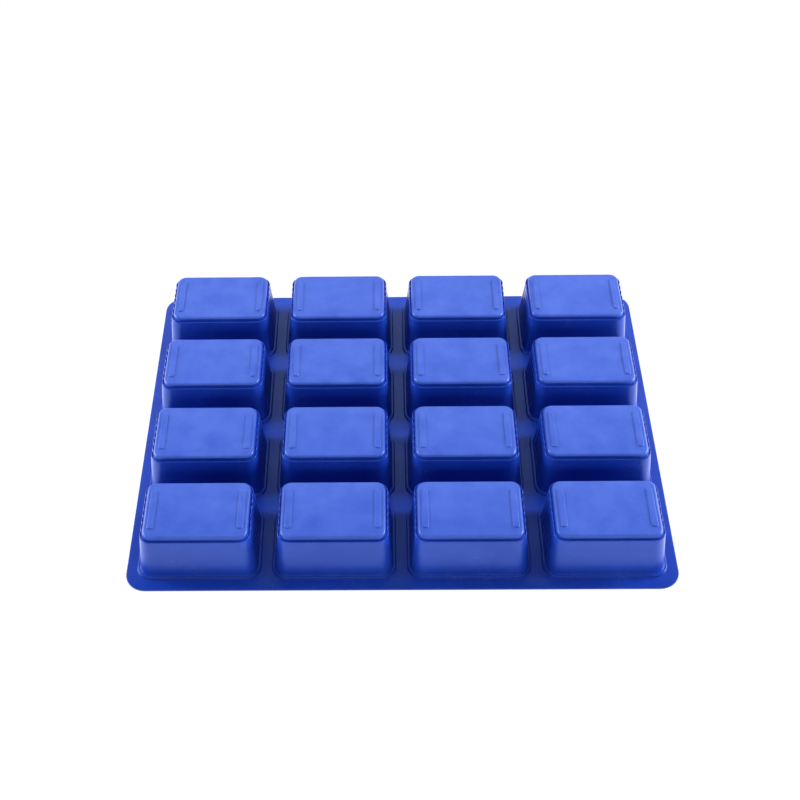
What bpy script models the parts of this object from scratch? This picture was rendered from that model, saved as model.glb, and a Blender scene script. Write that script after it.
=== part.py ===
"""Sixteen-cavity silicone soap mould, standing cups up on its flat flange.

Run with: blender --background --python part.py
Units are metres, +Z up. The origin is the centre of the flange's underside.
The long side of every cup lies along X. Row 1 is the front row (-Y), column 1 the left one (-X).
The moulding is divided where it flexes: along the webs between its columns, and round the
thin floor of each cup, which is pushed in to release the soap.
"""

import math

import bmesh
import bpy

# Layout
ROWS = 4
COLUMNS = 4
PITCH_X = 0.0900
PITCH_Y = 0.0700
ROOT_COLUMN = 1

# Flange
FLANGE_HALF_X = 0.1835
FLANGE_HALF_Y = 0.1440
FLANGE_CORNER = 0.0140
FLANGE_THICK = 0.0012
FLEX_SLOT = 0.0008
PIECE_GAP = 0.0003

# Cup, outside: half sizes in plan at each height
FOOT_HALF = (0.0415, 0.0308)
FOOT_CORNER = 0.0105
STEP_HALF = (0.0408, 0.0301)
STEP_HEIGHT = 0.0026
STEP_LEDGE = 0.0016
STEP_LEDGE_RISE = 0.0006
SHOULDER_HALF = (0.0363, 0.0256)
SHOULDER_HEIGHT = 0.0340
SHOULDER_CORNER = 0.0080
PLATEAU_INSET = 0.0018
PLATEAU_HEIGHT = 0.0372
PLATEAU_EDGE = 0.0012
WALL_THICK = 0.0017

# Cup floor and its two bars
FLOOR_HALF = (0.0324, 0.0217)
FLOOR_CORNER = 0.0046
FLOOR_THICK = 0.0018
BAR_X = 0.0294
BAR_HALF_WIDTH = 0.0021
BAR_HALF_LENGTH = 0.0165
BAR_RISE = 0.0008

CORNER_STEPS = 4
BAR_END_STEPS = 6
SILICONE_BLUE = (0.045, 0.095, 0.56, 1.0)


def clear_scene():
    for old in list(bpy.data.objects):
        bpy.data.objects.remove(old)


def silicone(name):
    material = bpy.data.materials.new(name)
    material.use_nodes = True
    shader = material.node_tree.nodes["Principled BSDF"]
    shader.inputs["Base Color"].default_value = SILICONE_BLUE
    shader.inputs["Roughness"].default_value = 0.42
    shader.inputs["Metallic"].default_value = 0.0
    return material


def arc(centre_x, centre_y, radius, start, sweep, steps):
    """Points on an arc, both ends included, angles in radians."""
    angles = [start + sweep * step / steps for step in range(steps + 1)]
    return [(centre_x + radius * math.cos(a), centre_y + radius * math.sin(a)) for a in angles]


def rounded_rectangle(half_x, half_y, radius, steps=CORNER_STEPS):
    """Anticlockwise outline of a rectangle with round corners, centred on the origin."""
    points = []
    for quarter, (side_x, side_y) in enumerate(((1, 1), (-1, 1), (-1, -1), (1, -1))):
        centre_x = side_x * (half_x - radius)
        centre_y = side_y * (half_y - radius)
        points += arc(centre_x, centre_y, radius, quarter * math.pi / 2, math.pi / 2, steps)
    return points


def moved(outline, dx, dy):
    return [(x + dx, y + dy) for x, y in outline]


def add_loop(bm, outline, height):
    return [bm.verts.new((x, y, height)) for x, y in outline]


def join_loops(bm, lower, upper):
    """A band of quads between two loops with the same number of points."""
    count = len(lower)
    for i in range(count):
        j = (i + 1) % count
        bm.faces.new((lower[i], lower[j], upper[j], upper[i]))


def loop_edges(bm, loop):
    edges = []
    for i, vert in enumerate(loop):
        edges.append(bm.edges.get((vert, loop[i - 1])) or bm.edges.new((vert, loop[i - 1])))
    return edges


def finish_mesh(bm, name):
    bmesh.ops.recalc_face_normals(bm, faces=bm.faces)
    mesh = bpy.data.meshes.new(name)
    bm.to_mesh(mesh)
    bm.free()
    mesh.shade_smooth()
    mesh.set_sharp_from_angle(angle=math.radians(30))
    return mesh


def plate_mesh(name, outline, holes, low, high):
    """A flat plate with holes: the filled lower face, extruded up."""
    bm = bmesh.new()
    edges = loop_edges(bm, add_loop(bm, outline, low))
    for hole in holes:
        edges += loop_edges(bm, add_loop(bm, hole, low))
    bmesh.ops.triangle_fill(bm, use_beauty=True, use_dissolve=False, edges=edges)
    raised = bmesh.ops.extrude_face_region(bm, geom=bm.faces[:], use_keep_orig=True)
    top = [item for item in raised["geom"] if isinstance(item, bmesh.types.BMVert)]
    bmesh.ops.translate(bm, vec=(0, 0, high - low), verts=top)
    return finish_mesh(bm, name)


def column_x(column):
    return (column - (COLUMNS - 1) / 2) * PITCH_X


def row_y(row):
    return (row - (ROWS - 1) / 2) * PITCH_Y


def strip_outline(column):
    """Plan of one flange strip. The outer strips have the flange's round corners."""
    left = column_x(column) - PITCH_X / 2 + FLEX_SLOT / 2
    right = column_x(column) + PITCH_X / 2 - FLEX_SLOT / 2
    half_turn = math.pi / 2
    inner_x = FLANGE_HALF_X - FLANGE_CORNER
    inner_y = FLANGE_HALF_Y - FLANGE_CORNER
    if column == COLUMNS - 1:
        front_right = arc(inner_x, -inner_y, FLANGE_CORNER, -half_turn, half_turn, CORNER_STEPS)
        back_right = arc(inner_x, inner_y, FLANGE_CORNER, 0, half_turn, CORNER_STEPS)
    else:
        front_right = [(right, -FLANGE_HALF_Y)]
        back_right = [(right, FLANGE_HALF_Y)]
    if column == 0:
        back_left = arc(-inner_x, inner_y, FLANGE_CORNER, half_turn, half_turn, CORNER_STEPS)
        front_left = arc(-inner_x, -inner_y, FLANGE_CORNER, math.pi, half_turn, CORNER_STEPS)
    else:
        back_left = [(left, FLANGE_HALF_Y)]
        front_left = [(left, -FLANGE_HALF_Y)]
    return front_left + front_right + back_right + back_left


def flange_strip_mesh(column, pivot_x):
    """One column's share of the flange, with a hole round the foot of each of its cups."""
    hole = rounded_rectangle(
        FOOT_HALF[0] + PIECE_GAP, FOOT_HALF[1] + PIECE_GAP, FOOT_CORNER + PIECE_GAP
    )
    centre_x = column_x(column) - pivot_x
    holes = [moved(hole, centre_x, row_y(row)) for row in range(ROWS)]
    outline = moved(strip_outline(column), -pivot_x, 0)
    return plate_mesh(f"flange_strip_{column + 1}", outline, holes, 0, FLANGE_THICK)


def cup_sections():
    """The wall's closed section: (half x, half y, corner radius, height), up outside, down inside."""
    foot_x, foot_y = FOOT_HALF
    step_x, step_y = STEP_HALF
    shoulder_x, shoulder_y = SHOULDER_HALF
    plateau_x = shoulder_x - PLATEAU_INSET
    plateau_y = shoulder_y - PLATEAU_INSET
    opening_x = FLOOR_HALF[0] + PIECE_GAP
    opening_y = FLOOR_HALF[1] + PIECE_GAP
    opening_corner = FLOOR_CORNER + PIECE_GAP
    lower_corner = FOOT_CORNER - STEP_LEDGE
    under_shoulder = SHOULDER_HEIGHT - WALL_THICK
    inner_x = shoulder_x - WALL_THICK
    inner_y = shoulder_y - WALL_THICK
    base_x = step_x - STEP_LEDGE - WALL_THICK
    base_y = step_y - STEP_LEDGE - WALL_THICK
    outside = [
        (foot_x, foot_y, FOOT_CORNER, 0),
        (foot_x, foot_y, FOOT_CORNER, FLANGE_THICK),
        (step_x, step_y, lower_corner, STEP_HEIGHT),
        (step_x - STEP_LEDGE, step_y - STEP_LEDGE, lower_corner, STEP_HEIGHT + STEP_LEDGE_RISE),
        (shoulder_x, shoulder_y, SHOULDER_CORNER, SHOULDER_HEIGHT),
        (plateau_x, plateau_y, SHOULDER_CORNER - PLATEAU_INSET, SHOULDER_HEIGHT + PLATEAU_EDGE / 2),
        (plateau_x, plateau_y, SHOULDER_CORNER - PLATEAU_INSET, PLATEAU_HEIGHT - PLATEAU_EDGE),
        (opening_x + PIECE_GAP, opening_y + PIECE_GAP, opening_corner + PIECE_GAP, PLATEAU_HEIGHT),
    ]
    inside = [
        (opening_x, opening_y, opening_corner, PLATEAU_HEIGHT - PIECE_GAP),
        (opening_x, opening_y, opening_corner, under_shoulder),
        (inner_x, inner_y, SHOULDER_CORNER - WALL_THICK, under_shoulder),
        (base_x, base_y, lower_corner - WALL_THICK, STEP_HEIGHT),
        (foot_x - WALL_THICK, foot_y - WALL_THICK, FOOT_CORNER - WALL_THICK, 0),
    ]
    return outside + inside


def cup_wall_mesh():
    """The wall ring of one cup, from its stepped foot to the rim of the raised plateau."""
    bm = bmesh.new()
    loops = []
    for half_x, half_y, radius, height in cup_sections():
        loops.append(add_loop(bm, rounded_rectangle(half_x, half_y, radius), height))
    for lower, upper in zip(loops, loops[1:] + loops[:1]):
        join_loops(bm, lower, upper)
    return finish_mesh(bm, "cup_wall")


def bar_outline(centre_x):
    """A bar with round ends, long side along Y."""
    straight = BAR_HALF_LENGTH - BAR_HALF_WIDTH
    back_end = arc(centre_x, straight, BAR_HALF_WIDTH, 0, math.pi, BAR_END_STEPS)
    front_end = arc(centre_x, -straight, BAR_HALF_WIDTH, math.pi, math.pi, BAR_END_STEPS)
    return back_end + front_end


def cup_floor_mesh():
    """The thin floor panel, its top at height 0 here, with two raised bars on it."""
    bm = bmesh.new()
    outline = rounded_rectangle(FLOOR_HALF[0], FLOOR_HALF[1], FLOOR_CORNER)
    bottom = add_loop(bm, outline, -FLOOR_THICK)
    top = add_loop(bm, outline, 0)
    bm.faces.new(bottom)
    join_loops(bm, bottom, top)
    edges = loop_edges(bm, top)
    for centre_x in (-BAR_X, BAR_X):
        base = add_loop(bm, bar_outline(centre_x), 0)
        crown = add_loop(bm, bar_outline(centre_x), BAR_RISE)
        edges += loop_edges(bm, base)
        join_loops(bm, base, crown)
        bm.faces.new(crown)
    bmesh.ops.triangle_fill(bm, use_beauty=True, use_dissolve=False, edges=edges)
    return finish_mesh(bm, "cup_floor")


def pivot_x_of(column):
    """Where a column's flex line is: on the side of it that faces the root column."""
    if column == ROOT_COLUMN:
        return 0.0
    side = 1 if column < ROOT_COLUMN else -1
    return column_x(column) + side * PITCH_X / 2


def add_pivot(column, parent, parent_x):
    """An empty on the column's flex line, half way up the flange's thickness."""
    pivot = bpy.data.objects.new(f"pivot_column_{column + 1}", None)
    bpy.context.collection.objects.link(pivot)
    pivot.parent = parent
    height = 0 if parent else FLANGE_THICK / 2
    pivot.location = (pivot_x_of(column) - parent_x, 0, height)
    return pivot


def add_piece(name, mesh, material, parent, location):
    piece = bpy.data.objects.new(name, mesh)
    bpy.context.collection.objects.link(piece)
    if not mesh.materials:
        mesh.materials.append(material)
    piece.parent = parent
    piece.location = location
    return piece


def build_column(column, pivot, wall_mesh, floor_mesh, materials):
    """One column: its flange strip, and a wall and a floor for each of its cups."""
    pivot_x = pivot_x_of(column)
    base = -FLANGE_THICK / 2
    strip = flange_strip_mesh(column, pivot_x)
    add_piece(f"flange_column_{column + 1}", strip, materials["flange"], pivot, (0, 0, base))
    centre_x = column_x(column) - pivot_x
    for row in range(ROWS):
        place = f"r{row + 1}_c{column + 1}"
        wall_at = (centre_x, row_y(row), base)
        floor_at = (centre_x, row_y(row), base + PLATEAU_HEIGHT)
        add_piece(f"cup_wall_{place}", wall_mesh, materials["wall"], pivot, wall_at)
        add_piece(f"cup_floor_{place}", floor_mesh, materials["floor"], pivot, floor_at)


def build_mould():
    materials = {part: silicone(f"silicone_{part}") for part in ("flange", "wall", "floor")}
    wall_mesh = cup_wall_mesh()
    floor_mesh = cup_floor_mesh()
    pivots = {ROOT_COLUMN: add_pivot(ROOT_COLUMN, None, 0)}
    for column in list(range(ROOT_COLUMN + 1, COLUMNS)) + list(range(ROOT_COLUMN - 1, -1, -1)):
        inner = column - 1 if column > ROOT_COLUMN else column + 1
        pivots[column] = add_pivot(column, pivots[inner], pivot_x_of(inner))
    for column, pivot in sorted(pivots.items()):
        build_column(column, pivot, wall_mesh, floor_mesh, materials)
    bpy.context.view_layer.update()


clear_scene()
build_mould()
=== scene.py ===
# %% [markdown]
# # A sixteen-cavity silicone soap mould
#
# The mould is one sheet of soft blue silicone, pressed into a grid of cups. It stands cups up on
# its flat flange, so we look at the backs of the cavities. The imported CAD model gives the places
# and sizes. This file models the skin that is seen, paints it, lights it and points the camera.

# %% Load the frame
import math

import bmesh
import bpy
from mathutils import Matrix, Quaternion, Vector


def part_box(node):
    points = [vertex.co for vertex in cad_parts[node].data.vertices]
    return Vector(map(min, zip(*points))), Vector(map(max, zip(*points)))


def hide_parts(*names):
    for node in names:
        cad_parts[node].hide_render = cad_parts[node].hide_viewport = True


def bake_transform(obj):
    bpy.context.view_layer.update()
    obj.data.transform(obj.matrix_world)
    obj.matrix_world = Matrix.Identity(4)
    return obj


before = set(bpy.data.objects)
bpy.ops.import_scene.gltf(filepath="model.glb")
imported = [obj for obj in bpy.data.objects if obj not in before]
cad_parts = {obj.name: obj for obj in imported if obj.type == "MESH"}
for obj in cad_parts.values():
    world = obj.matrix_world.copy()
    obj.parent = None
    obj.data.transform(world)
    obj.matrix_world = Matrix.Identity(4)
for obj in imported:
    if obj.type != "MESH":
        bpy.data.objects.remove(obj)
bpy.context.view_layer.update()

# %% [markdown]
# ## Measures
#
# Every measure starts from the CAD nodes. The box of one cup wall gives the foot of a cup and the
# height of its plateau, two neighbours give the pitch, and the flange strips give the sheet. The
# small radii are the ones a mould maker would cut: sharp where the cutter runs, round on the edges.

# %% Measures from the frame
MM = 0.001
COLUMNS = 4
ROWS = 4
wall_low, wall_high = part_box("cup_wall_r1_c1")
next_low, next_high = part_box("cup_wall_r2_c2")
floor_low, floor_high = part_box("cup_floor_r1_c1")
strip_low, strip_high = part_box("flange_column_1")
FIRST_CENTRE = (wall_low + wall_high) / 2
PITCH_X = next_low.x - wall_low.x
PITCH_Y = next_low.y - wall_low.y
FOOT_X = (wall_high.x - wall_low.x) / 2
FOOT_Y = (wall_high.y - wall_low.y) / 2
PLATEAU_Z = wall_high.z
BAR_TOP_Z = floor_high.z
FLANGE_Z = strip_high.z
FLANGE_X = -strip_low.x
FLANGE_Y = strip_high.y
FLOOR_UNDER_Z = floor_low.z
print("pitch", PITCH_X, PITCH_Y, "foot", FOOT_X, FOOT_Y, "plateau", PLATEAU_Z)


def cup_centre(row, column):
    """Middle of a cup in plan, with rows and columns counted from 1."""
    return FIRST_CENTRE.x + (column - 1) * PITCH_X, FIRST_CENTRE.y + (row - 1) * PITCH_Y


# %% [markdown]
# ## One section of a cup
#
# At any height the cup is a rectangle with round corners. It could be drawn point by point, but a
# grid of one face with its four corners bevelled gives the same outline, and the bevel's offset is
# the corner radius. The short sides get extra cuts, because the ribs need points to bend.

# %% Section helper
CORNER_SEGMENTS = 9
END_CUTS = 71
LONG_CUTS = 11


def add_section(bm, half_x, half_y, radius, height, centre=(0, 0), end_cuts=END_CUTS, long_cuts=LONG_CUTS):
    """Edges of one closed outline: a rectangle with round corners, flat at a height."""
    older_faces = set(bm.faces)
    older_edges = set(bm.edges)
    corners = bmesh.ops.create_grid(bm, x_segments=1, y_segments=1, size=1.0)["verts"]
    bmesh.ops.scale(bm, vec=(half_x, half_y, 1), verts=corners)
    bmesh.ops.translate(bm, vec=(centre[0], centre[1], height), verts=corners)
    bmesh.ops.bevel(
        bm, geom=corners, offset=radius, offset_type="OFFSET", segments=CORNER_SEGMENTS,
        profile=0.5, affect="VERTICES", material=-1,
    )
    face = next(f for f in bm.faces if f not in older_faces)
    long_sides = []
    short_sides = []
    for edge in face.edges:
        run = edge.verts[0].co - edge.verts[1].co
        if abs(run.x) > 1.9 * (half_x - radius):
            long_sides.append(edge)
        elif abs(run.y) > 1.9 * (half_y - radius):
            short_sides.append(edge)
    bmesh.ops.delete(bm, geom=[face], context="FACES_ONLY")
    if end_cuts:
        bmesh.ops.subdivide_edges(bm, edges=short_sides, cuts=end_cuts)
    if long_cuts:
        bmesh.ops.subdivide_edges(bm, edges=long_sides, cuts=long_cuts)
    return [edge for edge in bm.edges if edge not in older_edges]


def arc(centre, radius, start, end, steps):
    """Points on an arc of a profile, angles in degrees from the inward direction."""
    points = []
    for step in range(steps + 1):
        angle = math.radians(start + (end - start) * step / steps)
        points.append((centre[0] + radius * math.cos(angle), centre[1] + radius * math.sin(angle)))
    return points


# %% [markdown]
# ## The profile of the cup
#
# A cup is the same profile carried round the rounded rectangle. Each point of the profile is an
# inset from the foot, in millimetres, and a height. Outside it climbs over the step at the foot,
# up the tapered wall, round the sharp shoulder, through a narrow groove and over the soft edge of
# the raised plateau. Inside it follows one wall's thickness away.

# %% Outer and inner profiles
WALL_BASE_INSET = 2.3
SHOULDER_INSET = 5.2
SHOULDER_Z = 34.0
PLATEAU_RADIUS = 2.0
PLATEAU_INSET = 8.9
FOOT_CORNER = 10.5
SHOULDER_CORNER = 8.0
SMALLEST_CORNER = 3.0
CORNER_TIGHTENING = 0.75
flange_mm = FLANGE_Z / MM
plateau_mm = PLATEAU_Z / MM
WALL_ROWS = 12
WALL_START_Z = 3.42
LIP_RADIUS = 0.45
FLEX_ROWS = 6
FLEX_LOW = 34.4
FLEX_HIGH = 35.25
INNER_WALL_ROWS = 8

foot_profile = (
    [(0, 0)]
    + arc((0, flange_mm + 0.35), 0.35, -90, 0, 4)
    + arc((1.1, 2.25), 0.6, 180, 90, 5)
    + arc((1.7, WALL_START_Z), 0.6, -90, -5, 4)
)
wall_profile = []
for wall_row in range(1, WALL_ROWS + 1):
    share = wall_row / (WALL_ROWS + 1)
    wall_inset = WALL_BASE_INSET + (SHOULDER_INSET - WALL_BASE_INSET) * share
    wall_profile.append((wall_inset, WALL_START_Z + (SHOULDER_Z - LIP_RADIUS - WALL_START_Z) * share))
shoulder_profile = arc((SHOULDER_INSET + LIP_RADIUS, SHOULDER_Z - LIP_RADIUS), LIP_RADIUS, 175, 75, 6)
groove_profile = [(6.0, 33.86), (6.2, 33.6), (6.4, 33.48), (6.6, 33.6), (6.72, 33.95)]
flex_profile = []
for flex_row in range(FLEX_ROWS + 1):
    share = flex_row / FLEX_ROWS
    flex_profile.append((6.78 + 0.12 * share, FLEX_LOW + (FLEX_HIGH - FLEX_LOW) * share))
plateau_profile = arc((PLATEAU_INSET, plateau_mm - PLATEAU_RADIUS), PLATEAU_RADIUS, 165, 90, 7)
outer_profile = (
    foot_profile + wall_profile + shoulder_profile + groove_profile + flex_profile + plateau_profile
)

mouth_profile = arc((1.3, 0.4), 0.4, -90, 0, 3) + [(1.75, 0.95)] + arc((3.1, 2.3), 0.8, -90, -5, 4)
inner_wall_profile = []
for wall_row in range(INNER_WALL_ROWS + 1):
    share = wall_row / INNER_WALL_ROWS
    inner_wall_profile.append((3.95 + 2.95 * share, 2.6 + 28.7 * share))
inner_shoulder_profile = [
    (7.05, 31.9), (7.4, 32.25), (8.2, 32.3), (8.65, 32.5), (8.8, 32.9), (8.8, FLEX_LOW),
]
inner_flex_profile = []
for flex_row in range(1, FLEX_ROWS + 1):
    inner_flex_profile.append((8.8, FLEX_LOW + (FLEX_HIGH - FLEX_LOW) * flex_row / FLEX_ROWS))
under_floor_profile = [(9.0, 35.36), (9.4, FLOOR_UNDER_Z / MM)]
inner_profile = (
    mouth_profile + inner_wall_profile + inner_shoulder_profile + inner_flex_profile + under_floor_profile
)
print("profile points", len(outer_profile), "outside,", len(inner_profile), "inside")


def corner_radius(inset):
    """The corner gets tighter up the cup, and follows the inset above the shoulder."""
    if inset <= WALL_BASE_INSET:
        return FOOT_CORNER - CORNER_TIGHTENING * inset
    if inset <= SHOULDER_INSET:
        share = (inset - WALL_BASE_INSET) / (SHOULDER_INSET - WALL_BASE_INSET)
        base_corner = FOOT_CORNER - CORNER_TIGHTENING * WALL_BASE_INSET
        return base_corner + (SHOULDER_CORNER - base_corner) * share
    return max(SHOULDER_CORNER - (inset - SHOULDER_INSET), SMALLEST_CORNER)


# %% [markdown]
# ## The ribs on the end walls
#
# The two short walls of every cup carry six upright grooves, which leave round ribs between them.
# The folded |cosine| has just that shape: round crests with a crease between. Each outline's short
# sides are pushed in by it. The grooves fade out above the step and in the shoulder's own groove.

# %% Rib helper
RIB_PERIODS = 6
RIB_DEPTH = 0.62
RIB_START_Z = 4.5
RIB_FULL_Z = 12.0
RIB_END_INSET = 6.1
RIB_FADE = 0.5


def rib_depth(inset, height):
    """How deep the grooves are, in millimetres, at one point of the outer profile."""
    if height < RIB_START_Z or inset > RIB_END_INSET:
        return 0.0
    rise = min(1.0, (height - RIB_START_Z) / (RIB_FULL_Z - RIB_START_Z))
    lip = min(1.0, max(0.0, (RIB_END_INSET - inset) / RIB_FADE))
    return RIB_DEPTH * (rise * rise * (3 - 2 * rise)) * lip


def press_ribs(edges, half_x, straight, depth):
    """Pushes the short sides of one outline inwards into grooves."""
    done = set()
    for edge in edges:
        for vert in edge.verts:
            if vert in done or abs(vert.co.y) > straight or abs(vert.co.x) < half_x * 0.98:
                continue
            done.add(vert)
            crest = abs(math.cos(math.pi * RIB_PERIODS / 2 * vert.co.y / straight))
            vert.co.x -= math.copysign(depth * (1 - crest) * MM, vert.co.x)


# %% [markdown]
# ## One whole cup
#
# The outlines are stacked and bridged, first up the outside and then up the inside, and a band
# across the mouth joins the two. Two outlines with one centre can be bridged crosswise, so the
# inner one is lifted while the band is made. The plateau is filled round the feet of its two
# bars, so the cup is one closed skin from mouth to bars. The floor and the wall are one piece
# here, because the real silicone has no line between them, and the piece has extra rows in the
# neck where the real floor is pushed in.

# %% Cup helpers
BAR_X = 29.4 * MM
BAR_HALF_WIDTH = 2.1
BAR_HALF_LENGTH = 16.5
BAR_FOOT_SPREAD = 0.2
bar_mm = BAR_TOP_Z / MM
bar_profile = (
    arc((0, plateau_mm + 0.25), 0.25, -90, -20, 3)
    + arc((0.62, bar_mm - 0.4), 0.4, 165, 90, 4)
)


def profile_outline(bm, inset, height, ribs):
    half_x = FOOT_X - inset * MM
    half_y = FOOT_Y - inset * MM
    radius = corner_radius(inset) * MM
    edges = add_section(bm, half_x, half_y, radius, height * MM)
    if ribs:
        press_ribs(edges, half_x, half_y - radius, rib_depth(inset, height))
    return edges


def bridge_all(bm, outlines):
    for lower, upper in zip(outlines, outlines[1:]):
        bmesh.ops.bridge_loops(bm, edges=lower + upper)


def add_bar(bm, centre_x):
    """One raised bar with round ends. Returns the outline of its foot."""
    outlines = []
    for inset, height in bar_profile:
        half_width = (BAR_HALF_WIDTH + BAR_FOOT_SPREAD - inset) * MM
        half_length = (BAR_HALF_LENGTH + BAR_FOOT_SPREAD - inset) * MM
        outline = add_section(
            bm, half_width, half_length, half_width * 0.995, height * MM, (centre_x, 0),
            end_cuts=7, long_cuts=0,
        )
        outlines.append(outline)
    bridge_all(bm, outlines)
    bmesh.ops.edgeloop_fill(bm, edges=outlines[-1])
    return outlines[0]


def cup_mesh():
    bm = bmesh.new()
    outer = [profile_outline(bm, inset, height, True) for inset, height in outer_profile]
    inner = [profile_outline(bm, inset, height, False) for inset, height in inner_profile]
    bridge_all(bm, outer)
    bridge_all(bm, inner)
    mouth = list({vert for edge in inner[0] for vert in edge.verts})
    bmesh.ops.translate(bm, vec=(0, 0, MM), verts=mouth)
    bmesh.ops.bridge_loops(bm, edges=outer[0] + inner[0])
    bmesh.ops.translate(bm, vec=(0, 0, -MM), verts=mouth)
    feet = add_bar(bm, -BAR_X) + add_bar(bm, BAR_X)
    bmesh.ops.triangle_fill(bm, use_beauty=True, use_dissolve=False, edges=outer[-1] + feet)
    bmesh.ops.edgeloop_fill(bm, edges=inner[-1])
    bmesh.ops.recalc_face_normals(bm, faces=bm.faces)
    mesh = bpy.data.meshes.new("cup")
    bm.to_mesh(mesh)
    open_edges = sum(1 for edge in bm.edges if len(edge.link_faces) != 2)
    print("cup faces", len(bm.faces), "open edges", open_edges, "volume", bm.calc_volume(signed=True))
    bm.free()
    return mesh


# %% [markdown]
# ## Sixteen cups from one shape
#
# Every cavity of a mould is cut with the same tool, so all the cups are the same. An array could
# repeat them, but each cup takes the place of its own wall and floor parts. So the mesh is made
# once, copied, and moved in the mesh itself, which leaves every object at the origin. Each copy
# has extra rows in the thin neck round its plateau, between the wall below and the floor above.

# %% Make the sixteen cups
CUP_SHARP_ANGLE = 40
cup_shape = cup_mesh()
cups = []
for row in range(1, ROWS + 1):
    for column in range(1, COLUMNS + 1):
        place = f"r{row}_c{column}"
        centre_x, centre_y = cup_centre(row, column)
        mesh = cup_shape.copy()
        mesh.name = f"cup_{place}"
        mesh.transform(Matrix.Translation((centre_x, centre_y, 0)))
        cup = bpy.data.objects.new(f"cup_{place}", mesh)
        bpy.context.collection.objects.link(cup)
        cup.data.shade_smooth()
        cup.data.set_sharp_from_angle(angle=math.radians(CUP_SHARP_ANGLE))
        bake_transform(cup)
        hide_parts(f"cup_wall_{place}", f"cup_floor_{place}")
        cups.append(cup)
print("cups", len(cups))

# %% [markdown]
# ## The flange
#
# The flange is a thin sheet with sixteen holes, one round each foot. Its outline and its holes are
# the same kind of section as the cups, so every hole meets its cup point for point. For each
# piece the sheet is made whole, cut with planes across one web so that it has points to bend
# with, and then cropped down the middle of the inner columns.

# %% Flange helpers
FLANGE_CORNER = 14.0
RIM_TOP = 0.45
RIM_UNDER = 0.3
BEND_HALF = 3.2
BEND_STEPS = 3
FLANGE_SHARP_ANGLE = 35
rim_profile = (
    arc((RIM_UNDER, RIM_UNDER), RIM_UNDER, 270, 180, 3)
    + arc((RIM_TOP, flange_mm - RIM_TOP), RIM_TOP, 180, 90, 5)
)


def flange_bmesh():
    bm = bmesh.new()
    rim = []
    for inset, height in rim_profile:
        rim.append(add_section(
            bm, FLANGE_X - inset * MM, FLANGE_Y - inset * MM, (FLANGE_CORNER - inset) * MM, height * MM,
            end_cuts=0, long_cuts=0,
        ))
    under = list(rim[0])
    top = list(rim[-1])
    bridge_all(bm, rim)
    for row in range(1, ROWS + 1):
        for column in range(1, COLUMNS + 1):
            centre = cup_centre(row, column)
            low = add_section(bm, FOOT_X, FOOT_Y, FOOT_CORNER * MM, 0, centre)
            high = add_section(bm, FOOT_X, FOOT_Y, FOOT_CORNER * MM, FLANGE_Z, centre)
            bmesh.ops.bridge_loops(bm, edges=low + high)
            under += low
            top += high
    bmesh.ops.triangle_fill(bm, use_beauty=True, use_dissolve=False, edges=under)
    bmesh.ops.triangle_fill(bm, use_beauty=True, use_dissolve=False, edges=top)
    bmesh.ops.recalc_face_normals(bm, faces=bm.faces)
    return bm


def cut(bm, x, clear_left=False, clear_right=False):
    """Cuts the sheet across at x, and drops one side of it where asked."""
    parts = bm.verts[:] + bm.edges[:] + bm.faces[:]
    made = bmesh.ops.bisect_plane(
        bm, geom=parts, dist=1e-7, plane_co=(x, 0, 0), plane_no=(1, 0, 0),
        clear_outer=clear_right, clear_inner=clear_left,
    )
    if clear_left or clear_right:
        edges = [part for part in made["geom_cut"] if isinstance(part, bmesh.types.BMEdge)]
        bmesh.ops.holes_fill(bm, edges=edges, sides=0)


# %% [markdown]
# ## Three flange pieces
#
# A blend works across one joint only, so one sheet can't follow three webs. The real sheet rolls
# up along the webs between its columns, so the flange is made as three pieces, each with one web
# in it. They meet down the middle of the inner columns, where nothing bends.

# %% Make the three flange pieces
web_x = [FIRST_CENTRE.x + (column - 0.5) * PITCH_X for column in range(1, COLUMNS)]
seams = [cup_centre(1, 2)[0], cup_centre(1, 3)[0]]
flange_names = ["flange_left", "flange_middle", "flange_right"]
flange_nodes = [["flange_column_1"], ["flange_column_2", "flange_column_3"], ["flange_column_4"]]
flange_pieces = []
for piece_index, web in enumerate(web_x):
    bm = flange_bmesh()
    for step in range(-BEND_STEPS, BEND_STEPS + 1):
        cut(bm, web + step / BEND_STEPS * BEND_HALF * MM)
    if piece_index > 0:
        cut(bm, seams[piece_index - 1], clear_left=True)
    if piece_index < 2:
        cut(bm, seams[piece_index], clear_right=True)
    open_edges = sum(1 for edge in bm.edges if len(edge.link_faces) != 2)
    mesh = bpy.data.meshes.new(flange_names[piece_index])
    bm.to_mesh(mesh)
    print(flange_names[piece_index], "faces", len(bm.faces), "open edges", open_edges)
    bm.free()
    piece = bpy.data.objects.new(flange_names[piece_index], mesh)
    bpy.context.collection.objects.link(piece)
    mesh.shade_smooth()
    mesh.set_sharp_from_angle(angle=math.radians(FLANGE_SHARP_ANGLE))
    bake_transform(piece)
    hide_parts(*flange_nodes[piece_index])
    flange_pieces.append(piece)

# %% [markdown]
# ## The silicone
#
# Silicone looks plain, and what makes it real is small. The blue drifts a little from place to
# place, the moulding steel leaves a fine grain, and handling leaves faint dull scuffs. Each of
# these is a node group that reads Object coordinates, so the pattern runs on across the pieces.

# %% Node group helpers


def new_group(name, inputs, outputs):
    """An empty shader group. inputs and outputs map a socket's name to its type and default."""
    group = bpy.data.node_groups.new(name, "ShaderNodeTree")
    for socket_name, (kind, default) in inputs.items():
        socket = group.interface.new_socket(socket_name, in_out="INPUT", socket_type=kind)
        socket.default_value = default
    for socket_name, kind in outputs.items():
        group.interface.new_socket(socket_name, in_out="OUTPUT", socket_type=kind)
    return group, group.nodes.new("NodeGroupInput"), group.nodes.new("NodeGroupOutput")


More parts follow.
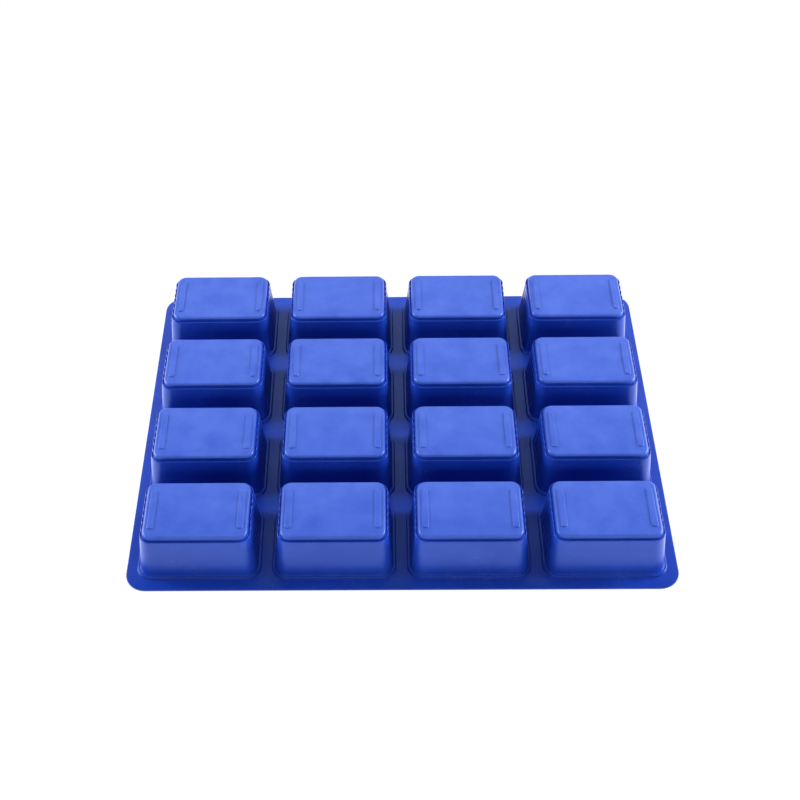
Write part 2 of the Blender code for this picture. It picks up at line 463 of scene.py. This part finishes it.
def noise(group, vector, scale, detail=3.0, roughness=0.5):
    node = group.nodes.new("ShaderNodeTexNoise")
    node.inputs["Detail"].default_value = detail
    node.inputs["Roughness"].default_value = roughness
    if isinstance(scale, (int, float)):
        node.inputs["Scale"].default_value = scale
    else:
        group.links.new(scale, node.inputs["Scale"])
    group.links.new(vector, node.inputs["Vector"])
    return node.outputs["Fac"]


def spread(group, value, low, high):
    """Maps a noise's usual range between low and high onto 0 to 1."""
    node = group.nodes.new("ShaderNodeMapRange")
    node.inputs["From Min"].default_value = low
    node.inputs["From Max"].default_value = high
    group.links.new(value, node.inputs["Value"])
    return node.outputs["Result"]


def maths(group, operation, first, second):
    node = group.nodes.new("ShaderNodeMath")
    node.operation = operation
    for socket, value in zip(node.inputs, (first, second)):
        if isinstance(value, (int, float)):
            socket.default_value = value
        else:
            group.links.new(value, socket)
    return node.outputs["Value"]


def mix_colour(group, factor, first, second):
    node = group.nodes.new("ShaderNodeMix")
    node.data_type = "RGBA"
    group.links.new(factor, node.inputs["Factor"])
    for socket, value in ((node.inputs["A"], first), (node.inputs["B"], second)):
        if isinstance(value, tuple):
            socket.default_value = value
        else:
            group.links.new(value, socket)
    return node.outputs["Result"]


# %% [markdown]
# ### Pigment drift
#
# The pigment is stirred into the rubber before it is pressed, so the colour is never quite even.
# A broad noise moves between two blues.

# %% Pigment group
def pigment_group():
    group, start, end = new_group(
        "pigment_drift",
        {
            "Vector": ("NodeSocketVector", (0, 0, 0)),
            "Deep": ("NodeSocketColor", (0, 0, 0.3, 1)),
            "Light": ("NodeSocketColor", (0, 0, 0.5, 1)),
            "Scale": ("NodeSocketFloat", 20.0),
        },
        {"Color": "NodeSocketColor"},
    )
    broad = noise(group, start.outputs["Vector"], start.outputs["Scale"], 4.0, 0.55)
    factor = spread(group, broad, 0.3, 0.7)
    colour = mix_colour(group, factor, start.outputs["Deep"], start.outputs["Light"])
    group.links.new(colour, end.inputs["Color"])
    return group


# %% [markdown]
# ### Moulded grain
#
# The steel mould is blasted, and its grain prints on the rubber as bumps of about half a
# millimetre. Under it lies a gentle unevenness, a centimetre or two across, where the soft sheet
# has cooled and been handled. Both are heights for one Bump node.

# %% Grain group
def grain_group():
    group, start, end = new_group(
        "moulded_grain",
        {
            "Vector": ("NodeSocketVector", (0, 0, 0)),
            "Grain": ("NodeSocketFloat", 1.0),
            "Unevenness": ("NodeSocketFloat", 1.0),
        },
        {"Height": "NodeSocketFloat"},
    )
    fine = noise(group, start.outputs["Vector"], 1900.0, 2.0, 0.6)
    broad = noise(group, start.outputs["Vector"], 60.0, 1.0, 0.4)
    fine_height = maths(group, "MULTIPLY", fine, start.outputs["Grain"])
    broad_height = maths(group, "MULTIPLY", broad, start.outputs["Unevenness"])
    group.links.new(maths(group, "ADD", fine_height, broad_height), end.inputs["Height"])
    return group


# %% [markdown]
# ### Scuffs
#
# Soft rubber marks easily and holds a little dust. A broad noise picks a few faint patches and a
# fine one breaks them into specks, where the surface is duller and slightly paler.

# %% Scuff group
def scuff_group():
    group, start, end = new_group(
        "handling_scuffs",
        {"Vector": ("NodeSocketVector", (0, 0, 0)), "Amount": ("NodeSocketFloat", 1.0)},
        {"Mask": "NodeSocketFloat"},
    )
    patches = spread(group, noise(group, start.outputs["Vector"], 38.0, 5.0, 0.6), 0.5, 0.78)
    specks = spread(group, noise(group, start.outputs["Vector"], 420.0, 3.0, 0.7), 0.42, 0.7)
    mask = maths(group, "MULTIPLY", maths(group, "MULTIPLY", patches, specks), start.outputs["Amount"])
    group.links.new(mask, end.inputs["Mask"])
    return group


# %% [markdown]
# ### Painted sheen
#
# The plateaus face the light above, and their colour is painted paler than the walls and webs:
# a painted sheen that stands in for the light they catch. The mask rises with the height of the
# surface, and a soft noise breaks it up.

# %% Painted sheen group
def painted_sheen_group():
    group, start, end = new_group(
        "plateau_painted_sheen",
        {
            "Vector": ("NodeSocketVector", (0, 0, 0)),
            "Low": ("NodeSocketFloat", 0.035),
            "High": ("NodeSocketFloat", 0.037),
        },
        {"Mask": "NodeSocketFloat"},
    )
    axes = group.nodes.new("ShaderNodeSeparateXYZ")
    group.links.new(start.outputs["Vector"], axes.inputs["Vector"])
    rise = group.nodes.new("ShaderNodeMapRange")
    rise.interpolation_type = "SMOOTHSTEP"
    group.links.new(axes.outputs["Z"], rise.inputs["Value"])
    group.links.new(start.outputs["Low"], rise.inputs["From Min"])
    group.links.new(start.outputs["High"], rise.inputs["From Max"])
    patches = group.nodes.new("ShaderNodeMapRange")
    patches.inputs["From Min"].default_value = 0.3
    patches.inputs["From Max"].default_value = 0.7
    patches.inputs["To Min"].default_value = 0.55
    patches.inputs["To Max"].default_value = 1.0
    group.links.new(noise(group, start.outputs["Vector"], 55.0, 4.0, 0.6), patches.inputs["Value"])
    mask = maths(group, "MULTIPLY", rise.outputs["Result"], patches.outputs["Result"])
    group.links.new(mask, end.inputs["Mask"])
    return group


# %% [markdown]
# ### The blue silicone
#
# Pressed silicone is a dense blue with a satin surface. It could be given subsurface scattering,
# but a deep pigment lets little light through, so a plain Principled shader is enough. The
# highlights are tinted blue. The four groups add the colour drift, bumps, dull marks and painted sheen.

# %% Silicone material
SILICONE_DEEP = (0.005, 0.028, 0.28, 1)
SILICONE_LIGHT = (0.009, 0.040, 0.35, 1)
SCUFF_BLUE = (0.05, 0.11, 0.50, 1)
# Painted sheen: a paler blue mixed into the plateaus' colour, standing in for the light they catch.
PAINTED_SHEEN_BLUE = (0.050, 0.100, 0.45, 1)
SILICONE_IOR = 1.41
SILICONE_TINT = (0.45, 0.7, 1.0, 1)
SILICONE_ROUGHNESS = 0.31
SCUFF_DULLING = 0.18
BUMP_STRENGTH = 0.25
BUMP_DISTANCE = 0.0004
pigment = pigment_group()
grain = grain_group()
scuffs = scuff_group()
painted_sheen = painted_sheen_group()


def place_group(tree, group, **values):
    node = tree.nodes.new("ShaderNodeGroup")
    node.node_tree = group
    for name, value in values.items():
        node.inputs[name].default_value = value
    return node


def silicone_material(name, roughness):
    material = bpy.data.materials.new(name)
    material.use_nodes = True
    tree = material.node_tree
    shader = tree.nodes["Principled BSDF"]
    shader.inputs["IOR"].default_value = SILICONE_IOR
    shader.inputs["Specular Tint"].default_value = SILICONE_TINT
    coordinates = tree.nodes.new("ShaderNodeTexCoord").outputs["Object"]
    colour = place_group(tree, pigment, Deep=SILICONE_DEEP, Light=SILICONE_LIGHT, Scale=26.0)
    height = place_group(tree, grain, Grain=0.35, Unevenness=1.0)
    marks = place_group(tree, scuffs, Amount=0.5)
    # Painted sheen: the colour turns paler with height on the plateaus, for the light they catch from
    # above.
    painted_sheen_node = place_group(tree, painted_sheen, Low=0.0352, High=0.0368)
    for node in (colour, height, marks, painted_sheen_node):
        tree.links.new(coordinates, node.inputs["Vector"])
    colour_with_painted_sheen = mix_colour(tree, painted_sheen_node.outputs["Mask"], colour.outputs["Color"], PAINTED_SHEEN_BLUE)
    painted = mix_colour(tree, marks.outputs["Mask"], colour_with_painted_sheen, SCUFF_BLUE)
    tree.links.new(painted, shader.inputs["Base Color"])
    dull = maths(tree, "MULTIPLY", marks.outputs["Mask"], SCUFF_DULLING)
    tree.links.new(maths(tree, "ADD", dull, roughness), shader.inputs["Roughness"])
    bump = tree.nodes.new("ShaderNodeBump")
    bump.inputs["Strength"].default_value = BUMP_STRENGTH
    bump.inputs["Distance"].default_value = BUMP_DISTANCE
    tree.links.new(height.outputs["Height"], bump.inputs["Height"])
    tree.links.new(bump.outputs["Normal"], shader.inputs["Normal"])
    return material


silicone = silicone_material("blue_silicone", SILICONE_ROUGHNESS)
for piece in cups + flange_pieces:
    piece.data.materials.clear()
    piece.data.materials.append(silicone)
print("painted", len(cups) + len(flange_pieces), "pieces")

# %% [markdown]
# ## Stage, light and camera
#
# A product like this is shown on a white table under broad, soft lights. A wide softbox hangs
# above and behind, and gives the plateaus part of their sheen; the rest is painted into their
# colour. Low ones at the two sides light the outer walls, a wide one in front lights the front
# walls, and a narrow strip hangs overhead. The table looks white to the camera and sends its own
# light back onto the mould.

# %% Table
TABLE_HALF = 6.0
TABLE_DROP = 0.0002
TABLE_GLOW = 1.4
TABLE_WHITE = 1.02
bm = bmesh.new()
bmesh.ops.create_grid(bm, x_segments=1, y_segments=1, size=TABLE_HALF)
bmesh.ops.translate(bm, vec=(0, 0, -TABLE_DROP), verts=bm.verts)
table_mesh = bpy.data.meshes.new("table")
bm.to_mesh(table_mesh)
bm.free()
table = bpy.data.objects.new("table", table_mesh)
bpy.context.collection.objects.link(table)
white = bpy.data.materials.new("white_table")
white.use_nodes = True
tree = white.node_tree
card = tree.nodes["Principled BSDF"]
card.inputs["Base Color"].default_value = (0.5, 0.5, 0.5, 1)
card.inputs["Roughness"].default_value = 0.9
card.inputs["Emission Color"].default_value = (1, 1, 1, 1)
card.inputs["Emission Strength"].default_value = TABLE_GLOW
seen = tree.nodes.new("ShaderNodeEmission")
seen.inputs["Color"].default_value = (1, 1, 1, 1)
seen.inputs["Strength"].default_value = TABLE_WHITE
choice = tree.nodes.new("ShaderNodeMixShader")
tree.links.new(tree.nodes.new("ShaderNodeLightPath").outputs["Is Camera Ray"], choice.inputs[0])
tree.links.new(card.outputs["BSDF"], choice.inputs[1])
tree.links.new(seen.outputs["Emission"], choice.inputs[2])
tree.links.new(choice.outputs["Shader"], tree.nodes["Material Output"].inputs["Surface"])
table_mesh.materials.append(white)


# %% [markdown]
# ### Lights
#
# Hard lamps would put hot spots on every lip. Area lights of the size of real softboxes give broad
# highlights instead. The two at the sides are low and strong, because a high light would turn the
# walls between the cups grey. The world is kept nearly black for the same reason.

# %% Lights
WORLD_STRENGTH = 0.06


def softbox(name, place, target, width, height, power):
    light = bpy.data.lights.new(name, "AREA")
    light.shape = "RECTANGLE"
    light.size = width
    light.size_y = height
    light.energy = power
    lamp = bpy.data.objects.new(name, light)
    bpy.context.collection.objects.link(lamp)
    lamp.location = place
    lamp.rotation_mode = "QUATERNION"
    lamp.rotation_quaternion = (Vector(target) - Vector(place)).to_track_quat("-Z", "Y")
    return lamp


softbox("back_softbox", (0, 1.15, 1.0), (0, 0, 0.03), 2.2, 0.6, 8)
softbox("left_softbox", (-1.3, 0.3, 0.6), (0, 0, 0.02), 0.9, 0.5, 31)
softbox("right_softbox", (1.3, 0.3, 0.6), (0, 0, 0.02), 0.9, 0.5, 38)
softbox("front_softbox", (0, -1.6, 0.75), (0, 0, 0.02), 2.0, 0.5, 12)
softbox("overhead_strip", (0, -0.1, 1.5), (0, 0, 0.03), 1.6, 0.08, 5)
world = bpy.data.worlds.new("studio")
bpy.context.scene.world = world
world.use_nodes = True
world.node_tree.nodes["Background"].inputs["Color"].default_value = (1, 1, 1, 1)
world.node_tree.nodes["Background"].inputs["Strength"].default_value = WORLD_STRENGTH

# %% [markdown]
# ### Camera
#
# The mould is seen from in front and above, about 46 degrees down, with a short telephoto lens
# that keeps the rows nearly parallel. The tilt, yaw and roll are kept apart and joined as
# quaternions, so that each can be set alone. The Standard view keeps the table white.

# %% Camera
CAMERA_PLACE = (-0.01166, -0.69419, 0.74959)
CAMERA_TILT = 45.966
CAMERA_YAW = -1.065
CAMERA_ROLL = 1.12
CAMERA_LENS = 63.0
CAMERA_SHIFT = 0.0437
camera_data = bpy.data.cameras.new("camera")
camera_data.sensor_width = 36
camera_data.lens = CAMERA_LENS
camera_data.shift_x = CAMERA_SHIFT
camera = bpy.data.objects.new("camera", camera_data)
bpy.context.collection.objects.link(camera)
camera.location = CAMERA_PLACE
camera.rotation_mode = "QUATERNION"
turn = Quaternion((0, 0, 1), math.radians(-CAMERA_YAW))
tilt = Quaternion((1, 0, 0), math.radians(90 - CAMERA_TILT))
roll = Quaternion((0, 0, 1), math.radians(-CAMERA_ROLL))
camera.rotation_quaternion = turn @ tilt @ roll
bpy.context.scene.camera = camera
bpy.context.scene.view_settings.view_transform = "Standard"
print("lens", camera_data.lens, "tilt", CAMERA_TILT)
